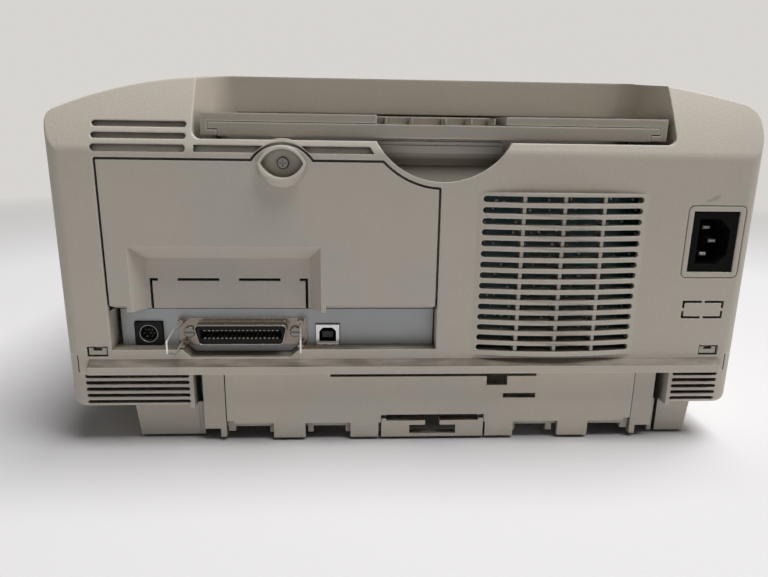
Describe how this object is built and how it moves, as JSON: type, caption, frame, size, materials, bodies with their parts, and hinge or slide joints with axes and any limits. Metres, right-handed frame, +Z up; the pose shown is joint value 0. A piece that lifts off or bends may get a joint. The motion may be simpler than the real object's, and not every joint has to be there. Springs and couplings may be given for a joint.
{
  "type": "inkjet printer",
  "caption": "Beige desktop printer with rear interface panel, lift-off socket cover, louvred grille, top feed pocket, rear access door and paper cassette.",
  "frame": {"origin": "middle of the bounding box in plan, on the table under the rubber feet", "axes": "+Z up, the user's front faces -Y, the rear face with the sockets faces +Y, the interface panel's end is at +X"},
  "size_m": [0.35, 0.396, 0.1905],
  "materials": {
    "casing_plastic": "fine moulded texture",
    "inner_plastic": "plain moulded",
    "panel_plastic": "fine moulded texture",
    "button_plastic": "smooth moulded",
    "lens_plastic": "clear tinted",
    "circuit_board": "solder mask",
    "foot_rubber": "matt rubber",
    "belt_rubber": "matt rubber",
    "screw_steel": "plated",
    "socket_plate": "plated sheet",
    "nickel_shell": "dull nickel plate",
    "clip_wire": "plated spring wire",
    "black_plastic": "plain moulded",
    "white_plastic": "plain moulded",
    "contact_brass": "plated contact",
    "ferrite": "ferrite core and tape",
    "capacitor_can": "sleeved can",
    "chassis_steel": "zinc-plated sheet",
    "bright_steel": "ground",
    "motor_can": "plated can",
    "pulley_aluminium": "turned"
  },
  "bodies": {
    "casing": {"base_casing": "casing_plastic", "upper_casing": "casing_plastic", "interface_cover": "casing_plastic", "feed_chute": "casing_plastic", "control_panel": "panel_plastic", "indicator_lenses": "lens_plastic", "control_board": "circuit_board", "rubber_feet": "foot_rubber", "cover_screw": "screw_steel", "port_screws": "screw_steel", "chassis_screws": "screw_steel", "io_panel": "socket_plate", "parallel_port_shell": "nickel_shell", "usb_port_shell": "nickel_shell", "parallel_port_insert": "black_plastic", "usb_port_insert": "white_plastic", "serial_port": "black_plastic", "parallel_port_contacts": "contact_brass", "mains_inlet": "black_plastic", "inlet_pins": "contact_brass", "main_board": "circuit_board", "power_board": "circuit_board", "power_transformer": "ferrite", "power_capacitors": "capacitor_can", "chassis": "chassis_steel", "guide_rod": "bright_steel", "carriage_motor": "motor_can", "feed_motor": "motor_can", "carriage_belt": "belt_rubber", "platen": "black_plastic", "sheet_guide": "black_plastic", "capping_station": "black_plastic"},
    "feed_tray": {"feed_tray": "casing_plastic"},
    "tray_extension": {"tray_extension": "casing_plastic"},
    "rear_access_door": {"rear_access_door": "casing_plastic"},
    "door_latch": {"door_latch": "casing_plastic"},
    "paper_cassette": {"paper_cassette": "casing_plastic"},
    "lift_plate": {"lift_plate": "chassis_steel"},
    "paper_guide_left": {"paper_guide_left": "inner_plastic"},
    "paper_guide_right": {"paper_guide_right": "inner_plastic"},
    "top_cover": {"top_cover": "casing_plastic"},
    "output_flap": {"output_flap": "casing_plastic"},
    "power_button": {"power_button": "button_plastic"},
    "feed_button": {"feed_button": "button_plastic"},
    "cancel_button": {"cancel_button": "button_plastic"},
    "drive_pulley": {"drive_pulley": "pulley_aluminium"},
    "idler_pulley": {"idler_pulley": "white_plastic"},
    "idler_gear": {"idler_gear": "white_plastic"},
    "motor_pinion": {"motor_pinion": "contact_brass"},
    "pinch_roller": {"pinch_roller": "inner_plastic"},
    "pickup_roller": {"pickup_roller": "belt_rubber"},
    "port_clip_left": {"port_clip_left": "clip_wire"},
    "port_clip_right": {"port_clip_right": "clip_wire"},
    "carriage": {"carriage": "black_plastic", "black_cartridge": "black_plastic", "colour_cartridge": "inner_plastic"},
    "feed_roller": {"feed_roller": "bright_steel", "feed_gear": "white_plastic"},
    "exit_roller": {"exit_roller": "inner_plastic", "exit_gear": "white_plastic"}
  },
  "joints": [
    {"name": "top_cover_hinge", "type": "hinge", "parent": "casing", "child": "top_cover", "pos_m": [-0.013, 0.1035, 0.1855], "axis": [-1, 0, 0], "range_deg": [0, 70]},
    {"name": "feed_tray_hinge", "type": "hinge", "parent": "casing", "child": "feed_tray", "pos_m": [-0.013, 0.125, 0.1648], "axis": [1, 0, 0], "range_deg": [0, 60]},
    {"name": "tray_extension_slide", "type": "slide", "parent": "feed_tray", "child": "tray_extension", "axis": [0, 1, 0], "range_m": [0, 0.036]},
    {"name": "rear_door_hinge", "type": "hinge", "parent": "casing", "child": "rear_access_door", "pos_m": [-0.013, 0.169, 0.0085], "axis": [-1, 0, 0], "range_deg": [0, 85]},
    {"name": "door_latch_slide", "type": "slide", "parent": "rear_access_door", "child": "door_latch", "axis": [0, 0, 1], "range_m": [0, 0.002]},
    {"name": "output_flap_hinge", "type": "hinge", "parent": "casing", "child": "output_flap", "pos_m": [-0.013, -0.1945, 0.059], "axis": [1, 0, 0], "range_deg": [0, 88]},
    {"name": "cassette_slide", "type": "slide", "parent": "casing", "child": "paper_cassette", "axis": [0, -1, 0], "range_m": [0, 0.28]},
    {"name": "lift_plate_hinge", "type": "hinge", "parent": "paper_cassette", "child": "lift_plate", "pos_m": [-0.013, -0.0422, 0.0086], "axis": [1, 0, 0], "range_deg": [0, 8]},
    {"name": "guide_left_slide", "type": "slide", "parent": "paper_cassette", "child": "paper_guide_left", "axis": [-1, 0, 0], "range_m": [0, 0.031]},
    {"name": "guide_right_slide", "type": "slide", "parent": "paper_cassette", "child": "paper_guide_right", "axis": [1, 0, 0], "range_m": [0, 0.031]},
    {"name": "power_button_press", "type": "slide", "parent": "casing", "child": "power_button", "axis": [0, 1, 0], "range_m": [0, 0.001], "stiffness_N_per_m": 500},
    {"name": "feed_button_press", "type": "slide", "parent": "casing", "child": "feed_button", "axis": [0, 1, 0], "range_m": [0, 0.001], "stiffness_N_per_m": 500},
    {"name": "cancel_button_press", "type": "slide", "parent": "casing", "child": "cancel_button", "axis": [0, 1, 0], "range_m": [0, 0.001], "stiffness_N_per_m": 500},
    {"name": "carriage_slide", "type": "slide", "parent": "casing", "child": "carriage", "axis": [-1, 0, 0], "range_m": [0, 0.236]},
    {"name": "drive_pulley_spin", "type": "hinge", "parent": "casing", "child": "drive_pulley", "pos_m": [-0.14, 0.068, 0.112], "axis": [0, 1, 0], "continuous": true},
    {"name": "idler_pulley_spin", "type": "hinge", "parent": "casing", "child": "idler_pulley", "pos_m": [0.15, 0.068, 0.112], "axis": [0, 1, 0], "continuous": true},
    {"name": "feed_roller_spin", "type": "hinge", "parent": "casing", "child": "feed_roller", "pos_m": [-0.013, 0.038, 0.068], "axis": [1, 0, 0], "continuous": true},
    {"name": "idler_gear_spin", "type": "hinge", "parent": "casing", "child": "idler_gear", "pos_m": [-0.1626, -0.01089, 0.07636], "axis": [1, 0, 0], "continuous": true},
    {"name": "exit_roller_spin", "type": "hinge", "parent": "casing", "child": "exit_roller", "pos_m": [-0.013, -0.052, 0.07], "axis": [1, 0, 0], "continuous": true},
    {"name": "motor_pinion_spin", "type": "hinge", "parent": "casing", "child": "motor_pinion", "pos_m": [-0.1626, 0.06715, 0.07314], "axis": [1, 0, 0], "continuous": true},
    {"name": "pinch_roller_spin", "type": "hinge", "parent": "casing", "child": "pinch_roller", "pos_m": [-0.013, 0.038, 0.0778], "axis": [1, 0, 0], "continuous": true},
    {"name": "pickup_roller_spin", "type": "hinge", "parent": "casing", "child": "pickup_roller", "pos_m": [-0.013, 0.104, 0.052], "axis": [1, 0, 0], "continuous": true},
    {"name": "clip_left_hinge", "type": "hinge", "parent": "casing", "child": "port_clip_left", "pos_m": [0.1169, 0.173, 0.06], "axis": [0, 0, 1], "range_deg": [-46, 22]},
    {"name": "clip_right_hinge", "type": "hinge", "parent": "casing", "child": "port_clip_right", "pos_m": [0.0565, 0.173, 0.06], "axis": [0, 0, -1], "range_deg": [-40, 27]}
  ],
  "couplings": [
    {"joint": "guide_right_slide", "follows": "guide_left_slide", "ratio": 1},
    {"joint": "drive_pulley_spin", "follows": "carriage_slide", "rad_per_m": 156.25},
    {"joint": "idler_pulley_spin", "follows": "carriage_slide", "rad_per_m": 156.25},
    {"joint": "idler_gear_spin", "follows": "feed_roller_spin", "ratio": -0.9375},
    {"joint": "exit_roller_spin", "follows": "feed_roller_spin", "ratio": 1.5},
    {"joint": "motor_pinion_spin", "follows": "feed_roller_spin", "ratio": -4.2857},
    {"joint": "pinch_roller_spin", "follows": "feed_roller_spin", "ratio": -1.7143}
  ]
}
